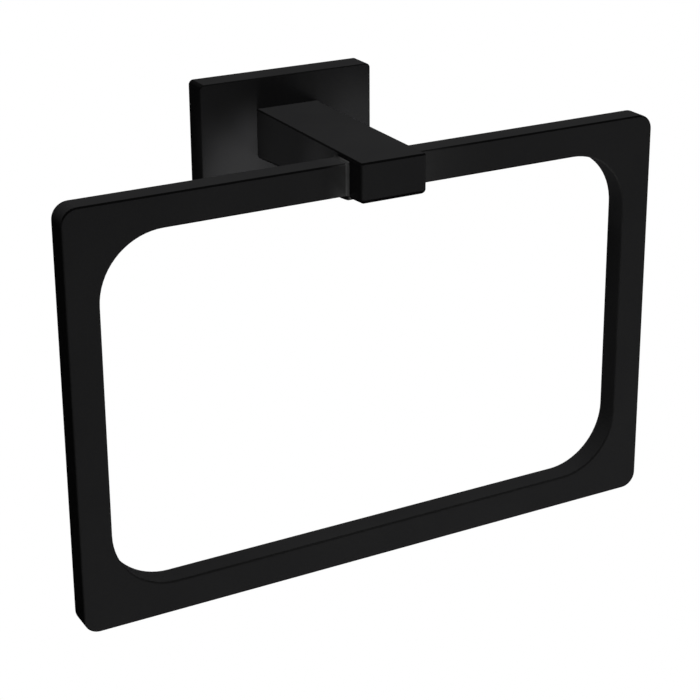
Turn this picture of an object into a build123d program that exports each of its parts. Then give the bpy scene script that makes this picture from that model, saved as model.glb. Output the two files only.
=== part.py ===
"""Wall-mounted towel ring: a flat-bar ring brazed into a notched arm that stands on a hollow wall flange.

The frame is in millimetres with +Z up. The wall is the plane y = 0, the object stands out along -Y,
and the origin is midway between the two wall screw holes, on the wall.
"""
import os

from build123d import *

# Ring, cut from plate as one closed loop
ring_width = 200.0
ring_height = 132.0
bar_width = 10.2
bar_depth = 8.0
ring_corner_radius = 5.0
opening_corner_radius = 20.0
ring_edge_round = 0.6

# Arm, flat on top with an underside that rises towards its front end
arm_width = 22.0
arm_reach = 78.0
arm_root_height = 16.8
arm_front_height = 12.6
arm_lower_round = 1.6
arm_edge_round = 0.65
ring_setback = 8.0
bar_cover = 1.9

# Braze bead round the bar, a little longer on the bar than on the arm's side
bead_length = 0.9
bead_rise = 0.7

# Wall flange, a shallow box open at the back
flange_width = 61.0
flange_height = 37.0
flange_depth = 8.8
flange_wall = 2.0
flange_face = 2.5
flange_corner_radius = 1.6
flange_edge_round = 0.4
cavity_corner_radius = 1.0

# Wall bracket, a plate whose top and bottom edges lean in towards the wall
bracket_thickness = 4.0
bracket_land = 0.5
bracket_side_gap = 0.25
bracket_top_gap = 0.5
bracket_bottom_gap = 4.0
bracket_corner_radius = 2.0
wall_hole_spacing = 38.0
wall_hole_diameter = 4.5
wall_hole_sink_diameter = 9.0
window_width = 23.0
window_height = 12.0

# Screws that hold the arm to the flange, M4 with a low head
arm_screw_diameter = 4.0
arm_screw_clearance = 0.4
arm_screw_spacing = 12.0
arm_screw_grip = 8.0
arm_screw_run_out = 2.0
arm_screw_head_diameter = 7.0
arm_screw_head_height = 1.8
arm_screw_head_bevel = 0.7
drive_slot_length = 4.0
drive_slot_width = 0.9
drive_slot_depth = 1.1

# Clamp screw, an M3 grub with a right-angled cone point
clamp_screw_diameter = 3.0
clamp_screw_length = 6.0
clamp_screw_from_wall = 2.4
clamp_socket_across_flats = 1.5
clamp_socket_depth = 2.0
clamp_boss_width = 9.0
clamp_boss_height = 2.5

# Positions that follow from the sizes above
arm_top = arm_root_height / 2
arm_root_y = -flange_depth
ring_front_y = -(arm_reach - ring_setback)
ring_back_y = ring_front_y + bar_depth
ring_top = arm_top - bar_cover
bar_bottom = ring_top - bar_width
bead_radius = (bead_length ** 2 + bead_rise ** 2) / (2 * bead_rise)
cavity_width = flange_width - 2 * flange_wall
cavity_height = flange_height - 2 * flange_wall
cavity_front_y = -(flange_depth - flange_face)
bracket_bevel = bracket_thickness - bracket_land
bracket_top = cavity_height / 2 - bracket_top_gap
bracket_bottom = -cavity_height / 2 + bracket_bottom_gap
clamp_y = -clamp_screw_from_wall
clamp_tip = bracket_bottom + bracket_bevel - clamp_screw_from_wall
clamp_radius = clamp_screw_diameter / 2


def block(x0, x1, y0, y1, z0, z1):
    """A box between two corners."""
    return Pos((x0 + x1) / 2, (y0 + y1) / 2, (z0 + z1) / 2) * Box(x1 - x0, y1 - y0, z1 - z0)


def rod_y(x, z, y0, y1, radius):
    """A cylinder along Y."""
    return Pos(x, (y0 + y1) / 2, z) * Rot(90, 0, 0) * Cylinder(radius, y1 - y0)


def rod_z(x, y, z0, z1, radius):
    """A cylinder along Z."""
    return Pos(x, y, (z0 + z1) / 2) * Cylinder(radius, z1 - z0)


def side_profile(points, width):
    """A closed outline of (y, z) points carried across X, half to each side."""
    return extrude(Plane.YZ * make_face(Polyline(*points, close=True)), width / 2, both=True)


def make_ring():
    """Outer and inner rounded rectangles in one plate, with every long edge broken."""
    plane = Plane((0, ring_back_y, ring_top - ring_height / 2), x_dir=(1, 0, 0), z_dir=(0, -1, 0))
    outline = RectangleRounded(ring_width, ring_height, ring_corner_radius)
    opening = RectangleRounded(ring_width - 2 * bar_width, ring_height - 2 * bar_width, opening_corner_radius)
    loop = extrude(plane * (outline - opening), bar_depth)
    rims = loop.faces().sort_by(Axis.Y)
    return fillet(rims[0].edges() + rims[-1].edges(), ring_edge_round)


def arm_outline():
    """The arm's side view, from the flange to the front end."""
    return [
        (arm_root_y, arm_top),
        (-arm_reach, arm_top),
        (-arm_reach, arm_top - arm_front_height),
        (arm_root_y, arm_top - arm_root_height),
    ]


def ahead_of_root(edge):
    """True for an edge that isn't on the arm's root face."""
    return edge.center().Y < arm_root_y - arm_edge_round


def make_arm_blank():
    """The arm before its notch is cut: soft lower edges, crisp upper ones, a plain root face."""
    blank = side_profile(arm_outline(), arm_width)
    underside = blank.faces().sort_by(Axis.Z)[0]
    blank = fillet(underside.edges().filter_by(ahead_of_root), arm_lower_round)
    top = blank.faces().sort_by(Axis.Z)[-1]
    front = blank.faces().sort_by(Axis.Y)[0]
    crisp = top.edges().filter_by(ahead_of_root)
    upright = front.edges().filter_by(Axis.Z)
    return fillet(crisp + upright, arm_edge_round)


def notch_box():
    """The slot the ring's bar is lifted into, open at the arm's underside."""
    bar_middle = ring_top - bar_width / 2
    return block(-arm_width, arm_width, ring_front_y, ring_back_y, -arm_root_height, bar_middle)


def make_arm(blank, ring):
    """Cuts the notch to the bar's own shape, and the two tapped holes in the root."""
    arm = blank - ring - notch_box()
    hole_end = arm_root_y - arm_screw_grip - arm_screw_run_out
    for side in (-1, 1):
        arm -= rod_y(side * arm_screw_spacing / 2, 0, hole_end, arm_root_y, arm_screw_diameter / 2)
    return arm


def make_braze(blank, arm, ring):
    """Filler under the bar, and a hollow bead round the bar that flares up on each side of the arm."""
    braze = (blank & notch_box()) - ring
    front = ring_front_y - bead_rise
    back = ring_back_y + bead_rise
    bottom = bar_bottom - bead_rise
    top = ring_top + bead_rise
    for side in (-1, 1):
        x_in = side * (arm_width / 2 - arm_lower_round)
        x_out = side * (arm_width / 2 + bead_length)
        bead = block(min(x_in, x_out), max(x_in, x_out), front, back, bottom, top) - ring - arm
        for y in (ring_front_y - bead_radius, ring_back_y + bead_radius):
            bead -= rod_z(x_out, y, bottom - bead_rise, top + bead_rise, bead_radius)
        for z in (bar_bottom - bead_radius, ring_top + bead_radius):
            bead -= rod_y(x_out, z, front - bead_rise, back + bead_rise, bead_radius)
        braze += bead
    above_underside = side_profile(arm_outline(), 2 * arm_width)
    return braze & above_underside


def make_flange():
    """A shell with a sloped rib inside its top wall and a boss for the clamp screw in its bottom wall."""
    half_w = flange_width / 2
    half_h = flange_height / 2
    shell = block(-half_w, half_w, -flange_depth, 0, -half_h, half_h)
    shell = fillet(shell.edges().filter_by(Axis.Y), flange_corner_radius)
    shell = fillet(shell.faces().sort_by(Axis.Y)[0].edges(), flange_edge_round)
    in_w = cavity_width / 2
    in_h = cavity_height / 2
    cavity = block(-in_w, in_w, cavity_front_y, 0, -in_h, in_h)
    shell -= fillet(cavity.edges().filter_by(Axis.Y), cavity_corner_radius)
    rib_points = [
        (-bracket_bevel, in_h + flange_wall / 2),
        (-bracket_bevel, bracket_top),
        (0, bracket_top - bracket_bevel),
        (0, in_h + flange_wall / 2),
    ]
    shell += side_profile(rib_points, cavity_width - 2 * cavity_corner_radius)
    boss_half = clamp_boss_width / 2
    shell += block(-boss_half, boss_half, cavity_front_y, 0, -in_h, -in_h + clamp_boss_height)
    shell -= rod_z(0, clamp_y, -flange_height, -in_h + clamp_boss_height, clamp_radius)
    clear_radius = (arm_screw_diameter + arm_screw_clearance) / 2
    for side in (-1, 1):
        shell -= rod_y(side * arm_screw_spacing / 2, 0, -flange_depth, cavity_front_y, clear_radius)
    return shell


def make_bracket():
    """A plate bevelled top and bottom, with two countersunk wall holes and a window for the screw heads."""
    points = [
        (0, bracket_top - bracket_bevel),
        (-bracket_bevel, bracket_top),
        (-bracket_thickness, bracket_top),
        (-bracket_thickness, bracket_bottom),
        (-bracket_bevel, bracket_bottom),
        (0, bracket_bottom + bracket_bevel),
    ]
    width = cavity_width - 2 * bracket_side_gap
    plate = side_profile(points, width)
    mid_z = (bracket_top + bracket_bottom) / 2
    face = Plane((0, 0, mid_z), x_dir=(1, 0, 0), z_dir=(0, -1, 0))
    rounded = RectangleRounded(width, bracket_top - bracket_bottom, bracket_corner_radius)
    plate &= extrude(face * rounded, bracket_thickness)
    half_w = window_width / 2
    half_h = window_height / 2
    window = block(-half_w, half_w, -bracket_thickness, 0, -half_h, half_h)
    plate -= fillet(window.edges().filter_by(Axis.Y), bracket_corner_radius)
    hole_radius = wall_hole_diameter / 2
    sink_radius = wall_hole_sink_diameter / 2
    sink_depth = sink_radius - hole_radius
    for side in (-1, 1):
        x = side * wall_hole_spacing / 2
        plate -= rod_y(x, 0, -bracket_thickness, 0, hole_radius)
        sink = Rot(90, 0, 0) * Cone(hole_radius, sink_radius, sink_depth)
        plate -= Pos(x, -bracket_thickness + sink_depth / 2, 0) * sink
    return plate


def make_arm_screw(x):
    """A low-headed screw put in from behind the flange's face."""
    head_y = cavity_front_y + arm_screw_head_height
    head = rod_y(x, 0, cavity_front_y, head_y, arm_screw_head_diameter / 2)
    rim = head.faces().sort_by(Axis.Y)[-1].edges()
    screw = chamfer(rim, arm_screw_head_bevel)
    screw += rod_y(x, 0, arm_root_y - arm_screw_grip, cavity_front_y, arm_screw_diameter / 2)
    slot_y = head_y - drive_slot_depth
    long_half = drive_slot_length / 2
    thin_half = drive_slot_width / 2
    screw -= block(x - long_half, x + long_half, slot_y, head_y, -thin_half, thin_half)
    screw -= block(x - thin_half, x + thin_half, slot_y, head_y, -long_half, long_half)
    return screw


def make_clamp_screw():
    """A grub screw whose cone lies along the bracket's lower bevel."""
    cone_base = clamp_tip - clamp_radius
    bottom = clamp_tip - clamp_screw_length
    screw = rod_z(0, clamp_y, bottom, cone_base, clamp_radius)
    screw += Pos(0, clamp_y, (cone_base + clamp_tip) / 2) * Cone(clamp_radius, 0, clamp_radius)
    hexagon = RegularPolygon(clamp_socket_across_flats / 2, 6, major_radius=False)
    screw -= extrude(Pos(0, clamp_y, bottom) * hexagon, clamp_socket_depth)
    return screw


ring = make_ring()
arm_blank = make_arm_blank()
arm = make_arm(arm_blank, ring)

nodes = {
    "ring": ring,
    "arm": arm,
    "braze": make_braze(arm_blank, arm, ring),
    "wall_flange": make_flange(),
    "wall_bracket": make_bracket(),
    "arm_screw_left": make_arm_screw(-arm_screw_spacing / 2),
    "arm_screw_right": make_arm_screw(arm_screw_spacing / 2),
    "clamp_screw": make_clamp_screw(),
}

os.makedirs("parts", exist_ok=True)
for name, shape in nodes.items():
    box = shape.bounding_box()
    print(name, "solids", len(shape.solids()), "volume", round(shape.volume, 2), "box", box.min, box.max)
    export_step(shape, f"parts/{name}.step")
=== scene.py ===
# %% [markdown]
# # A satin black towel ring
#
# The part is a wall-mounted towel ring: a flat-bar ring held upright in a tapered arm, on a shallow
# rectangular flange. Its main pieces come from the CAD frame at their real size, in metres, with +Z up and
# the wall at y = 0. This lesson gives each piece its finish and adds two small webs of filler at the joint.
# Then it sets up the room, the lamps and the camera.

# %% Load the frame
import math

import bpy
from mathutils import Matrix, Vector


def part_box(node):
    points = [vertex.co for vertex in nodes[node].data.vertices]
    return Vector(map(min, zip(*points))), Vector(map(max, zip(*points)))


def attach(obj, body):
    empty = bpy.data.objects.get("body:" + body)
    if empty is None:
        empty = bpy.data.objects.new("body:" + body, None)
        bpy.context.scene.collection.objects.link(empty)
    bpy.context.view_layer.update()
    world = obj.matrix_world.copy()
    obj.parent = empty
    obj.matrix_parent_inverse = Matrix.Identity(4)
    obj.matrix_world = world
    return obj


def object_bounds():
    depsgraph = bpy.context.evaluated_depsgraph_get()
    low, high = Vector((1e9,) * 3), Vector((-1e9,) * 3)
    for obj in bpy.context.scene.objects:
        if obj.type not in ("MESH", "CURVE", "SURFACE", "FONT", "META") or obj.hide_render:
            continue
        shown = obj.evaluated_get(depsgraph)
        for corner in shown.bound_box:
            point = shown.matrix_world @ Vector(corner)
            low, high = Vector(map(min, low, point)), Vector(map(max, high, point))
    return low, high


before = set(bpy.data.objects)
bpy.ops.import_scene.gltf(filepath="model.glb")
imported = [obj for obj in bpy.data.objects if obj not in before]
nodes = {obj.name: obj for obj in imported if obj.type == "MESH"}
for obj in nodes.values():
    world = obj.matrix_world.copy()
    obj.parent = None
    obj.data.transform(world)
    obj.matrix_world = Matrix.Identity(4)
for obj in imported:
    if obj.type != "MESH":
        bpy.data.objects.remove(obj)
cad_box = [list(corner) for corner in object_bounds()]
print("CAD nodes:", sorted(nodes))
print("CAD box:", cad_box)

# %% [markdown]
# ## Building materials from nodes
#
# A material is a small graph of nodes. A few short helpers keep the graphs below easy to read. Each adds one
# kind of node, joins it to what is there already, and hands back the socket that the next step needs. The
# first ones join sockets and work with numbers.

# %% Sockets and numbers
rising = (0.0, 1.0)
falling = (1.0, 0.0)


def feed(tree, socket, value):
    """Joins a socket to another, or sets it to a plain number or colour."""
    if isinstance(value, bpy.types.NodeSocket):
        tree.links.new(value, socket)
    else:
        socket.default_value = value


def compute(tree, operation, first, second=0.0):
    """One step of arithmetic on sockets or numbers."""
    node = tree.nodes.new("ShaderNodeMath")
    node.operation = operation
    feed(tree, node.inputs[0], first)
    feed(tree, node.inputs[1], second)
    return node.outputs["Value"]


def spread(tree, value, source, result):
    """Maps a value from one range to another and holds it there."""
    node = tree.nodes.new("ShaderNodeMapRange")
    feed(tree, node.inputs["Value"], value)
    node.inputs["From Min"].default_value, node.inputs["From Max"].default_value = source
    node.inputs["To Min"].default_value, node.inputs["To Max"].default_value = result
    return node.outputs["Result"]


def axes_of(tree, vector):
    """The three parts of a vector."""
    node = tree.nodes.new("ShaderNodeSeparateXYZ")
    feed(tree, node.inputs["Vector"], vector)
    return node.outputs["X"], node.outputs["Y"], node.outputs["Z"]


print("number helpers are ready")

# %% [markdown]
# ## Patterns and colours
#
# The next helpers make a noise pattern, turn a pattern into a bump and mix two colours. Noise seldom reaches
# 0 or 1, so its middle part is stretched. The last helper starts a material with the shader it will feed.

# %% Patterns, colours and materials
noise_range = (0.3, 0.7)


def noise(tree, place, scale, detail):
    """A noise pattern, stretched so that it runs from 0 to 1."""
    node = tree.nodes.new("ShaderNodeTexNoise")
    node.inputs["Detail"].default_value = detail
    feed(tree, node.inputs["Vector"], place)
    feed(tree, node.inputs["Scale"], scale)
    return spread(tree, node.outputs["Fac"], noise_range, rising)


def bump(tree, height, strength, depth):
    """A normal that follows a height pattern."""
    node = tree.nodes.new("ShaderNodeBump")
    node.inputs["Strength"].default_value = strength
    node.inputs["Distance"].default_value = depth
    feed(tree, node.inputs["Height"], height)
    return node.outputs["Normal"]


def grey(level, blue=1.0):
    """A grey, with a little more or less blue in it."""
    return (level, level, level * blue, 1)


def blend(tree, share, first, second):
    """Mixes two colours by a share from 0 to 1."""
    node = tree.nodes.new("ShaderNodeMix")
    node.data_type = "RGBA"
    feed(tree, node.inputs["Factor"], share)
    colour_inputs = [socket for socket in node.inputs if socket.type == "RGBA"]
    feed(tree, colour_inputs[0], first)
    feed(tree, colour_inputs[1], second)
    return next(socket for socket in node.outputs if socket.type == "RGBA")


def start_material(name):
    """A new material, its tree and its Principled shader."""
    material = bpy.data.materials.new(name)
    material.use_nodes = True
    tree = material.node_tree
    return material, tree, tree.nodes["Principled BSDF"]


print("noise is stretched from", noise_range, "to", rising)

# %% [markdown]
# ## The coat's texture
#
# Powder coat melts and flows as it bakes. It sets to a fine orange peel, with waves about half a millimetre
# across, and to faint clouds where the film is a little thicker. Every coated piece shows both, so one node
# group makes them from the place on the piece, and each piece gives it its own sizes.

# %% Coat texture group
cloud_detail = 3
peel_detail = 2


def new_group(name, inputs, outputs):
    """An empty node group with number sockets, and its two ends."""
    group = bpy.data.node_groups.new(name, "ShaderNodeTree")
    for socket in inputs:
        group.interface.new_socket(socket, in_out="INPUT", socket_type="NodeSocketFloat")
    for socket in outputs:
        group.interface.new_socket(socket, in_out="OUTPUT", socket_type="NodeSocketFloat")
    entry = group.nodes.new("NodeGroupInput")
    leave = group.nodes.new("NodeGroupOutput")
    return group, entry.outputs, leave.inputs


coat_texture, given, wanted = new_group("coat_texture", ("Cloud Scale", "Peel Scale"), ("Cloud", "Peel"))
place = coat_texture.nodes.new("ShaderNodeTexCoord").outputs["Object"]
feed(coat_texture, wanted["Cloud"], noise(coat_texture, place, given["Cloud Scale"], cloud_detail))
feed(coat_texture, wanted["Peel"], noise(coat_texture, place, given["Peel Scale"], peel_detail))
print("coat texture nodes:", len(coat_texture.nodes))

# %% [markdown]
# ## Darker lines at the edges
#
# Each level edge is given a thin darker line in its colour. In
# the photo these lines mark the upper edge of every front face. They could be drawn by hand, but the edges
# can be found from the way the surface faces: a flat face looks along one axis, and a rounded edge between
# two.

# %% Coat edge group
edge_range = (0.07, 0.25)

coat_edges, given, wanted = new_group("coat_edges", ("Side Edges",), ("Edge",))
facing = coat_edges.nodes.new("ShaderNodeTexCoord").outputs["Normal"]
across, outward, upward = [compute(coat_edges, "ABSOLUTE", part) for part in axes_of(coat_edges, facing)]
front_edge = compute(coat_edges, "MULTIPLY", outward, upward)
side_edge = compute(coat_edges, "MULTIPLY", across, upward)
side_share = compute(coat_edges, "MULTIPLY", side_edge, given["Side Edges"])
either_edge = compute(coat_edges, "MAXIMUM", front_edge, side_share)
feed(coat_edges, wanted["Edge"], spread(coat_edges, either_edge, edge_range, rising))
print("coat edge nodes:", len(coat_edges.nodes))

# %% [markdown]
# ## Satin black coat
#
# The photo shows a black that is nearly even and quite matt. The clouds move its colour and roughness a
# little, and the peel goes to a shallow bump. No face in the photo shows a highlight, so the coat has no
# specular level. Each coated piece starts from the same function, which hands back the colour, so that the
# piece can add marks of its own before the colour is joined to the shader.

# %% Satin black coat
coat_tones = (grey(0.0120, 1.03), grey(0.0132, 1.02))
coat_roughness = (0.58, 0.68)
coat_specular = 0.0
peel_size = 0.0006
peel_strength = 0.5
peel_depth = 0.00002


def coat(name, cloud_size, tones):
    """The coat on one piece, with clouds of a size in metres, and its colour."""
    material, tree, shader = start_material(name)
    texture = tree.nodes.new("ShaderNodeGroup")
    texture.node_tree = coat_texture
    texture.inputs["Cloud Scale"].default_value = 1 / cloud_size
    texture.inputs["Peel Scale"].default_value = 1 / peel_size
    cloud = texture.outputs["Cloud"]
    feed(tree, shader.inputs["Roughness"], spread(tree, cloud, rising, coat_roughness))
    feed(tree, shader.inputs["Normal"], bump(tree, texture.outputs["Peel"], peel_strength, peel_depth))
    shader.inputs["Specular IOR Level"].default_value = coat_specular
    return material, blend(tree, cloud, *tones)


def line_edges(material, colour, line_tone, side_edges):
    """Lines the level edges in front with a tone, and those along the sides by a share."""
    tree = material.node_tree
    edges = tree.nodes.new("ShaderNodeGroup")
    edges.node_tree = coat_edges
    edges.inputs["Side Edges"].default_value = side_edges
    return blend(tree, edges.outputs["Edge"], colour, line_tone)


def join_colour(material, colour):
    """Puts a finished colour on the material's shader."""
    tree = material.node_tree
    feed(tree, tree.nodes["Principled BSDF"].inputs["Base Color"], colour)


print("coat tones:", coat_tones)

# %% [markdown]
# ## Arm and flange
#
# The arm and the flange wear the plain coat. One material could serve both, but the arm's edge lines are
# darker than the flange's, and they are fainter along its sides. Each therefore gets a coat
# of its own.

# %% Arm and flange coats
arm_clouds = 0.016
arm_line = grey(0.0022)
arm_side_edges = 0.6
flange_clouds = 0.014
flange_line = grey(0.0040)
flange_side_edges = 1.0

arm_coat, arm_colour = coat("arm_coat", arm_clouds, coat_tones)
join_colour(arm_coat, line_edges(arm_coat, arm_colour, arm_line, arm_side_edges))
flange_coat, flange_colour = coat("flange_coat", flange_clouds, coat_tones)
join_colour(flange_coat, line_edges(flange_coat, flange_colour, flange_line, flange_side_edges))
print("coats:", arm_coat.name, flange_coat.name)

# %% [markdown]
# ## The ring's edge lines
#
# The ring's edge line isn't the same all round. In the photo it is dark along the top and faint inside the
# opening, and at the opening's upper right corner it is a pale one: a painted highlight where that edge
# catches the light. The place on the ring gives a mask for the top and one for that corner, and the masks
# choose between the three tones.

# %% Ring edge lines
ring_clouds = 0.022
ring_side_edges = 0.0
top_line = grey(0.0022)
inner_line = grey(0.0075)
# A pale tone painted as a highlight on the edge at the opening's upper right corner.
painted_highlight_line = grey(0.0165)
top_edge = (-0.005, 0.002)
highlight_side = (0.062, 0.074)
highlight_height = (-0.045, -0.025)

ring_coat, ring_colour = coat("ring_coat", ring_clouds, coat_tones)
ring_tree = ring_coat.node_tree
ring_place = ring_tree.nodes.new("ShaderNodeTexCoord").outputs["Object"]
ring_x, _, ring_z = axes_of(ring_tree, ring_place)
on_highlight_side = spread(ring_tree, ring_x, highlight_side, rising)
at_highlight_height = spread(ring_tree, ring_z, highlight_height, rising)
# Where that painted highlight goes.
highlight_corner = compute(ring_tree, "MULTIPLY", on_highlight_side, at_highlight_height)
opening_line = blend(ring_tree, highlight_corner, inner_line, painted_highlight_line)
on_top = spread(ring_tree, ring_z, top_edge, rising)
ring_line = blend(ring_tree, on_top, opening_line, top_line)
ring_colour = line_edges(ring_coat, ring_colour, ring_line, ring_side_edges)
print("ring line tones:", top_line[0], inner_line[0], painted_highlight_line[0])

# %% [markdown]
# ## Painted light on the ring
#
# The ring is brazed into the arm. Beside the arm the photo shows the bar paler, most of all close to the
# joint, and the edge line is lost there. That light is painted into the bar's colour. It is paler towards the
# arm, making up for the arm's shadow on the bar, and less on the top face, which the lamp already lights. It
# fades sooner on the left than on the right, so each side has a mask of its own, made from the distance
# along the bar.

# %% Painted light beside the arm
upper_bar = (-0.05, -0.02)
top_facing = (0.3, 0.8)
painted_light_by_facing = (1.0, 0.15)
# Painted light: each side's paler tone, strongest next to the arm.
left_painted_light = {"side": -1, "close": 0.012, "far": 0.019, "fade": 1.7, "tone": grey(0.036)}
right_painted_light = {"side": 1, "close": 0.011, "far": 0.045, "fade": 3.0, "tone": grey(0.0236)}


def paint_light_mark(material, colour, side, close, far, fade, tone):
    """Paints light on one side of the upper bar towards the arm, less on its top face."""
    tree = material.node_tree
    coordinates = tree.nodes.new("ShaderNodeTexCoord").outputs
    x, _, z = axes_of(tree, coordinates["Object"])
    _, _, upward = axes_of(tree, coordinates["Normal"])
    along = compute(tree, "MULTIPLY", x, side)
    # How much light is painted, falling off with the distance from the arm.
    painted_light = compute(tree, "POWER", spread(tree, along, (close, far), falling), fade)
    this_side = compute(tree, "MULTIPLY", compute(tree, "GREATER_THAN", along, 0.0), painted_light)
    on_bar = compute(tree, "MULTIPLY", this_side, spread(tree, z, upper_bar, rising))
    mask = compute(tree, "MULTIPLY", on_bar, spread(tree, upward, top_facing, painted_light_by_facing))
    return blend(tree, mask, colour, tone)


for mark in (left_painted_light, right_painted_light):
    ring_colour = paint_light_mark(ring_coat, ring_colour, **mark)
join_colour(ring_coat, ring_colour)
print("ring coat nodes:", len(ring_tree.nodes))

# %% [markdown]
# ## The braze bead
#
# A thin bright line runs round the bar where it enters the arm, on the hollow bead. Its colour is a painted
# highlight, palest in front. Its top already catches the lamp, so the tone is lower there, and it fades
# towards the back. Under the bar the filler closes the arm's notch in the plain black of the arm, and beside
# the arm painted shade makes it darker still.

# %% Braze coat
bead_clouds = 0.003
# Painted highlight: the bead's tones are far paler than the coat's, and lower on its top.
bead_highlight_tones = (grey(0.084), grey(0.094))
bead_top_highlight = grey(0.021)
# Painted shade under the bar, beside the arm.
painted_bead_shade = grey(0.004)
notch_tone = grey(0.0126)
bead_back = (-0.0670, -0.0630)
notch_heights = (-0.0036, -0.0033)
bar_front = (-0.0710, -0.0700)
arm_side = (0.0100, 0.0106)

braze_coat, bead_highlight = coat("braze_coat", bead_clouds, bead_highlight_tones)
braze_tree = braze_coat.node_tree
coordinates = braze_tree.nodes.new("ShaderNodeTexCoord").outputs
x, y, z = axes_of(braze_tree, coordinates["Object"])
_, _, upward = axes_of(braze_tree, coordinates["Normal"])
bead_top = spread(braze_tree, upward, top_facing, rising)
bead_highlight = blend(braze_tree, bead_top, bead_highlight, bead_top_highlight)
towards_back = spread(braze_tree, y, bead_back, rising)
bead_highlight = blend(braze_tree, towards_back, bead_highlight, notch_tone)
under_bar = spread(braze_tree, z, notch_heights, falling)
behind_front = spread(braze_tree, y, bar_front, rising)
in_notch = compute(braze_tree, "MULTIPLY", under_bar, behind_front)
beside_arm = spread(braze_tree, compute(braze_tree, "ABSOLUTE", x), arm_side, rising)
# The notch keeps the coat's tone in the middle and gets painted shade beside the arm.
notch_tone_and_shade = blend(braze_tree, beside_arm, notch_tone, painted_bead_shade)
join_colour(braze_coat, blend(braze_tree, in_notch, bead_highlight, notch_tone_and_shade))
print("braze coat nodes:", len(braze_tree.nodes))

# %% [markdown]
# ## Zinc plate and black oxide
#
# Behind the flange are a zinc-plated bracket and the screws. Zinc plate is a bright bluish metal with faint
# grains, so a Voronoi pattern gives each grain its own tone and a noise clouds its roughness. The clamp
# screw is blackened steel: nearly black, but still a metal.

# %% Plated and blackened metal
film_grains = 4
film_detail = 4
film_bump = 0.2
film_depth = 0.00001
bare_metal = 1.0
metals = {
    "bracket_zinc": {
        "tones": ((0.50, 0.52, 0.54, 1), (0.66, 0.67, 0.68, 1)),
        "grain_size": 0.0012,
        "roughness": (0.32, 0.48),
    },
    "arm_screw_steel": {
        "tones": ((0.58, 0.58, 0.57, 1), (0.74, 0.74, 0.73, 1)),
        "grain_size": 0.0006,
        "roughness": (0.24, 0.38),
    },
    "clamp_screw_steel": {
        "tones": ((0.020, 0.020, 0.022, 1), (0.050, 0.049, 0.048, 1)),
        "grain_size": 0.0004,
        "roughness": (0.36, 0.52),
    },
}


def plated_metal(name, tones, grain_size, roughness):
    """A metal whose grains differ in tone and whose film clouds its roughness."""
    material, tree, shader = start_material(name)
    place = tree.nodes.new("ShaderNodeTexCoord").outputs["Object"]
    grains = tree.nodes.new("ShaderNodeTexVoronoi")
    grains.inputs["Scale"].default_value = 1 / grain_size
    feed(tree, grains.inputs["Vector"], place)
    grain_tone, _, _ = axes_of(tree, grains.outputs["Color"])
    feed(tree, shader.inputs["Base Color"], blend(tree, grain_tone, *tones))
    film = noise(tree, place, 1 / (film_grains * grain_size), film_detail)
    feed(tree, shader.inputs["Roughness"], spread(tree, film, rising, roughness))
    feed(tree, shader.inputs["Normal"], bump(tree, film, film_bump, film_depth))
    shader.inputs["Metallic"].default_value = bare_metal
    return material


metal_finishes = {name: plated_metal(name, **setting) for name, setting in metals.items()}
print("metals:", ", ".join(metal_finishes))

# %% [markdown]
# ## Finishing the CAD pieces
#
# The CAD shapes are right as they are, so none of them is modelled again. A CAD node keeps its mesh and its
# place, and only what its material slots hold is changed.

# %% Put the finishes on
finishes = {
    "ring": ring_coat,
    "arm": arm_coat,
    "braze": braze_coat,
    "wall_flange": flange_coat,
    "wall_bracket": metal_finishes["bracket_zinc"],
    "arm_screw_left": metal_finishes["arm_screw_steel"],
    "arm_screw_right": metal_finishes["arm_screw_steel"],
    "clamp_screw": metal_finishes["clamp_screw_steel"],
}
for name, material in finishes.items():
    for material_slot in nodes[name].material_slots:
        material_slot.material = material
    print(name, "is finished in", material.name)

# %% [markdown]
# ## The web under the bar
#
# Molten filler creeps into a corner. Under the bar the photo shows a small dark web of it between the bar and
# the arm, longer than the bead in front; its dark tone is painted shade in the bead's coat. The CAD node has
# the even bead alone, so each side gets a web here.
# It starts as a plane that stands across the bar, inside the arm's rounded edge. Its top is inside the
# rounded edge of the bar.

# %% Start of a web
bar_bottom = -0.0037
bar_edge_round = 0.0006
web_start = 0.0094
web_drop = 0.0013
web_inset = 0.00015
web_height = web_drop + bar_edge_round


def web_plane(name, side):
    """A plane across the bar, on one side of the arm."""
    (_, front, _), (_, back, _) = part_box("ring")
    place = (side * web_start, (front + back) / 2, bar_bottom - web_drop + web_height / 2)
    bpy.ops.object.select_all(action="DESELECT")
    bpy.ops.mesh.primitive_plane_add(size=1, location=place, rotation=(0, math.pi / 2, 0))
    web = bpy.context.object
    web.name = name
    web.scale = (web_height, back - front - 2 * web_inset, 1)
    bpy.ops.object.transform_apply(location=True, rotation=True, scale=True)
    return web


print("web height:", round(web_height, 4), "m")

# %% [markdown]
# ## Shaping the web
#
# The plane is extruded outwards in short steps. Each step has a length and a share of the depth that it
# keeps, so the web hollows out and ends in the rounded edge of the bar. A small bevel then softens it. The
# two webs mirror each other, ride with the rest of the part and wear the bead's coat.

# %% Two webs
web_steps = (
    (0.0016, 1.0),
    (0.0006, 0.874),
    (0.0007, 0.80),
    (0.0007, 0.75),
    (0.0006, 0.68),
    (0.0005, 0.44),
)
web_bevel = 0.0001
web_bevel_steps = 2
web_crease = math.radians(40)


def grow_web(side):
    """Extrudes the plane outwards and draws each step up towards the bar."""
    inside_bar = (0, 0, bar_bottom + bar_edge_round)
    bpy.ops.object.mode_set(mode="EDIT")
    bpy.ops.mesh.select_all(action="SELECT")
    for along, shrink in web_steps:
        bpy.ops.mesh.extrude_region_move(TRANSFORM_OT_translate={"value": (side * along, 0, 0)})
        bpy.ops.transform.resize(value=(1, 1, shrink), center_override=inside_bar)
    bpy.ops.mesh.select_all(action="SELECT")
    bpy.ops.mesh.normals_make_consistent(inside=False)
    bpy.ops.object.mode_set(mode="OBJECT")


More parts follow.
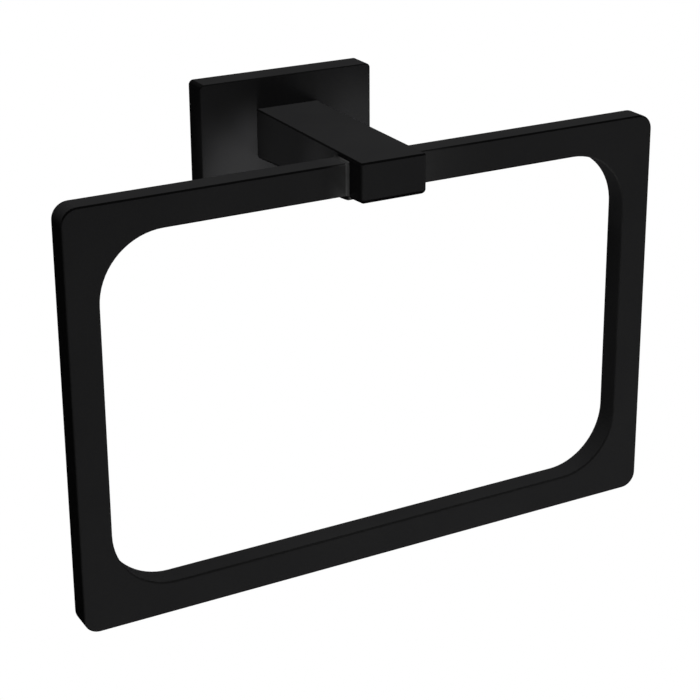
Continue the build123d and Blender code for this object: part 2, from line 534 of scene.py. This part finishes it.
def soften_web(web):
    """Bevels the web's edges and shades it smooth between them."""
    bevel = web.modifiers.new("bevel", "BEVEL")
    bevel.width = web_bevel
    bevel.segments = web_bevel_steps
    bevel.angle_limit = web_crease
    bpy.ops.object.modifier_apply(modifier=bevel.name)
    bpy.ops.object.shade_smooth_by_angle(angle=web_crease)


for web_name, side in (("braze_web_left", -1), ("braze_web_right", 1)):
    web = web_plane(web_name, side)
    grow_web(side)
    soften_web(web)
    # The bead's coat paints the web's front dark, as shade.
    web.data.materials.append(braze_coat)
    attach(web, "root")
    print(web.name, "has", len(web.data.polygons), "faces")

# %% [markdown]
# ## White room
#
# The photo is cut out on white. Here the world and a floor well below the ring are white to the camera and in
# reflections, and only a soft fill to everything else, so the white costs the object no extra light.

# %% World
white = grey(1.0)
sky_levels = (0.035, 1.0)


def seen_directly(tree):
    """A socket that is 1 for camera, glossy and transmission rays, and 0 for the rest."""
    path = tree.nodes.new("ShaderNodeLightPath").outputs
    mirrored = compute(tree, "MAXIMUM", path["Is Glossy Ray"], path["Is Transmission Ray"])
    return compute(tree, "MAXIMUM", path["Is Camera Ray"], mirrored)


world = bpy.data.worlds.new("white_room")
bpy.context.scene.world = world
world.use_nodes = True
sky = world.node_tree.nodes["Background"]
sky.inputs["Color"].default_value = white
sky_level = spread(world.node_tree, seen_directly(world.node_tree), rising, sky_levels)
feed(world.node_tree, sky.inputs["Strength"], sky_level)
print("sky levels:", sky_levels)

# %% [markdown]
# ## Floor
#
# The floor is one large plane with matt pale paint. Where it is seen directly, a mix shader shows a white
# glow in place of the paint, so that no line shows between the floor and the sky.

# %% Floor
floor_drop = 0.9
floor_span = 6.0
floor_paint = grey(0.8)
floor_roughness = 1.0

lowest_z = cad_box[0][2]
bpy.ops.object.select_all(action="DESELECT")
bpy.ops.mesh.primitive_plane_add(size=floor_span, location=(0, 0, lowest_z - floor_drop))
floor = bpy.context.object
floor.name = "floor"
floor_white, floor_tree, floor_shader = start_material("floor_white")
floor_shader.inputs["Base Color"].default_value = floor_paint
floor_shader.inputs["Roughness"].default_value = floor_roughness
floor_glow = floor_tree.nodes.new("ShaderNodeEmission")
floor_glow.inputs["Color"].default_value = white
floor_mix = floor_tree.nodes.new("ShaderNodeMixShader")
feed(floor_tree, floor_mix.inputs["Fac"], seen_directly(floor_tree))
feed(floor_tree, floor_mix.inputs[1], floor_shader.outputs["BSDF"])
feed(floor_tree, floor_mix.inputs[2], floor_glow.outputs["Emission"])
feed(floor_tree, floor_tree.nodes["Material Output"].inputs["Surface"], floor_mix.outputs["Shader"])
floor.data.materials.append(floor_white)
print("floor at z =", round(floor.location.z, 3))

# %% [markdown]
# ## Lamps
#
# The photo's brightest faces point up, the fronts are a little darker and the left sides are nearly black.
# The arm's shadow goes up the flange, so the front light comes from below. One lamp overhead and two low in
# front give that order, and one behind keeps the back from going black. That one is left out of reflections,
# because the zinc bracket would mirror it as plain white. A lamp's power is worked out from the light level
# it should give at the object, where 1 shows a colour about as it is written. On a matt face that takes pi
# watts per square metre. Straight ahead, a square lamp sends 1 / pi of its power into each steradian.

# %% Large lamps
plain_light = math.pi
ring_middle = (0, -0.045, -0.05)
lamps = {
    "top_lamp": {"place": (0.0, -0.16, 0.9), "size": 0.4, "level": 1.3},
    "low_right_lamp": {"place": (0.63, -0.89, -0.48), "size": 0.46, "level": 0.55},
    "low_front_lamp": {"place": (0.03, -0.30, -0.41), "size": 0.26, "level": 0.57},
    "back_lamp": {"place": (0.45, 0.8, 0.15), "size": 0.5, "level": 0.8},
}


def point_lamp(lamp, target):
    """Turns a lamp to face a target, and gives the distance."""
    offset = [there - here for there, here in zip(target, lamp.location)]
    distance = math.hypot(*offset)
    heading = math.atan2(offset[1], offset[0]) - math.pi / 2
    lamp.rotation_euler = (math.acos(-offset[2] / distance), 0, heading)
    return distance


def soft_lamp(name, place, size, level):
    """A square lamp that lights the ring to a level."""
    bpy.ops.object.light_add(type="AREA", location=place)
    lamp = bpy.context.object
    lamp.name = name
    lamp.data.size = size
    distance = point_lamp(lamp, ring_middle)
    lamp.data.energy = level * plain_light * math.pi * distance ** 2
    lamp.visible_camera = False
    print(name, "power", round(lamp.data.energy, 2), "W at", round(distance, 2), "m")


for lamp_name, setting in lamps.items():
    soft_lamp(lamp_name, **setting)
bpy.data.objects["back_lamp"].visible_glossy = False

# %% [markdown]
# ## Small spots
#
# In the photo the lower half of the flange glows on both sides of the arm, highest up beside the arm's root.
# The arm's left face is lighter behind the ring than in front of it, most of all close to the joint. Three
# small soft-edged spots shine up at the flange through the ring's opening, and two more light the arm from
# the left, behind the ring. The last two sit in the opening, for the light that the ring's inner walls throw
# on each other. A spot's power counts as if it shone all round, so it is worked out for a whole sphere.

# %% Small spots
spot_source = 0.004
spot_softness = 1.0
spots = {
    "left_spot": {
        "place": (-0.03, -0.40, -0.38),
        "target": (-0.016, -0.0088, -0.016),
        "beam": 0.0195,
        "level": 2.55,
    },
    "root_spot": {
        "place": (-0.03, -0.40, -0.38),
        "target": (-0.012, -0.0088, 0.0025),
        "beam": 0.007,
        "level": 0.8,
    },
    "right_spot": {
        "place": (0.12, -0.38, -0.36),
        "target": (0.0282, -0.0088, -0.0089),
        "beam": 0.0187,
        "level": 1.3,
    },
    "arm_spot": {
        "place": (-0.30, -0.03, -0.03),
        "target": (-0.011, -0.034, 0.0),
        "beam": 0.034,
        "level": 0.53,
    },
    "joint_spot": {
        "place": (-0.12, -0.02, -0.03),
        "target": (-0.011, -0.057, 0.0),
        "beam": 0.018,
        "level": 0.6,
    },
    "opening_spot": {
        "place": (-0.075, -0.066, -0.016),
        "target": (0.05, -0.066, -0.105),
        "beam": 0.138,
        "level": 0.25,
    },
    "corner_spot": {
        "place": (0.0, -0.066, -0.06),
        "target": (0.0865, -0.066, -0.015),
        "beam": 0.022,
        "level": 0.28,
    },
}


def small_spot(name, place, target, beam, level):
    """A spot whose round beam has a given radius at its target."""
    bpy.ops.object.light_add(type="SPOT", location=place)
    lamp = bpy.context.object
    lamp.name = name
    distance = point_lamp(lamp, target)
    whole_sphere = 4 * math.pi * distance ** 2
    lamp.data.spot_size = 2 * math.atan(beam / distance)
    lamp.data.spot_blend = spot_softness
    lamp.data.shadow_soft_size = spot_source
    lamp.data.energy = level * plain_light * whole_sphere
    lamp.visible_camera = False
    print(name, "power", round(lamp.data.energy, 2), "W at", round(distance, 2), "m")


for spot_name, setting in spots.items():
    small_spot(spot_name, **setting)

# %% [markdown]
# ## Camera
#
# The camera's place, direction and lens were fitted to the photo's straight edges. The photo's uprights
# hardly lean, so its lens was shifted. Part of that shift is kept here, as much as still leaves the object
# inside the picture when the camera goes round it.

# %% Camera
camera_place = (-0.2607, -0.5318, 0.1663)
camera_yaw = math.radians(29.54)
camera_pitch = math.radians(19.22)
camera_lens = 96.17
camera_shift = (-0.0483, -0.16)

bpy.ops.object.camera_add(location=camera_place)
camera = bpy.context.object
camera.name = "photo_camera"
camera.rotation_euler = (math.pi / 2 - camera_pitch, 0, -camera_yaw)
camera.data.lens = camera_lens
camera.data.shift_x, camera.data.shift_y = camera_shift
bpy.context.scene.camera = camera
bpy.context.scene.view_settings.view_transform = "Standard"
print("camera lens", round(camera.data.lens, 2), "mm on a sensor of", camera.data.sensor_width, "mm")
